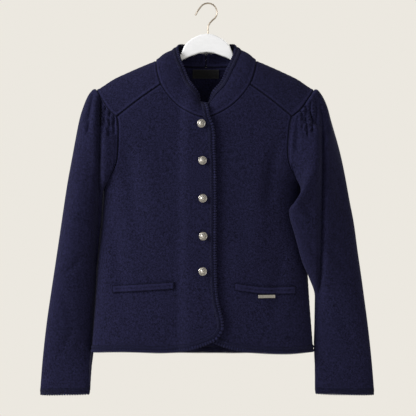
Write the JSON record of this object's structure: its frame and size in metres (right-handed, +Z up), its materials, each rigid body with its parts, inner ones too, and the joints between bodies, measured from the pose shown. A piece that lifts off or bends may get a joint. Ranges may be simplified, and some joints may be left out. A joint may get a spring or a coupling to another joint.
{
  "type": "wool jacket on a hanger",
  "caption": "Short boxy wool jacket with a stand-and-fall collar, gathered sleeves, braid edging, pocket welts and domed metal buttons, buttoned up on a white hanger with a wire hook.",
  "frame": {"origin": "inner top of the hook's loop, where the hanger hangs", "axes": "+Z up; the jacket's front faces -Y; its right side is on -X"},
  "size_m": [0.6839, 0.123, 0.8003],
  "materials": {
    "wool": "matt felted navy wool",
    "braid": "navy braid with a crocheted edge",
    "button_metal": "antique silver",
    "label_cloth": "black woven label, bare",
    "hanger_paint": "satin white",
    "hook_metal": "dark bronze-grey wire"
  },
  "bodies": {
    "root": {"front_right": "wool", "front_left": "wool", "yoke_right": "wool", "yoke_left": "wool", "back": "wool", "collar_right": "wool", "collar_left": "wool", "sleeve_front_upper_right": "wool", "sleeve_front_lower_right": "wool", "sleeve_back_upper_right": "wool", "sleeve_back_lower_right": "wool", "sleeve_front_upper_left": "wool", "sleeve_front_lower_left": "wool", "sleeve_back_upper_left": "wool", "sleeve_back_lower_left": "wool", "pocket_welt_right": "wool", "pocket_welt_left": "wool", "edging_right": "braid", "edging_left": "braid", "edging_back_hem": "braid", "edging_cuff_right": "braid", "edging_cuff_left": "braid", "button_1": "button_metal", "button_2": "button_metal", "button_3": "button_metal", "button_4": "button_metal", "button_5": "button_metal", "pocket_bar": "button_metal", "neck_label": "label_cloth", "hanger": "hanger_paint", "hanger_hook": "hook_metal"}
  },
  "joints": []
}
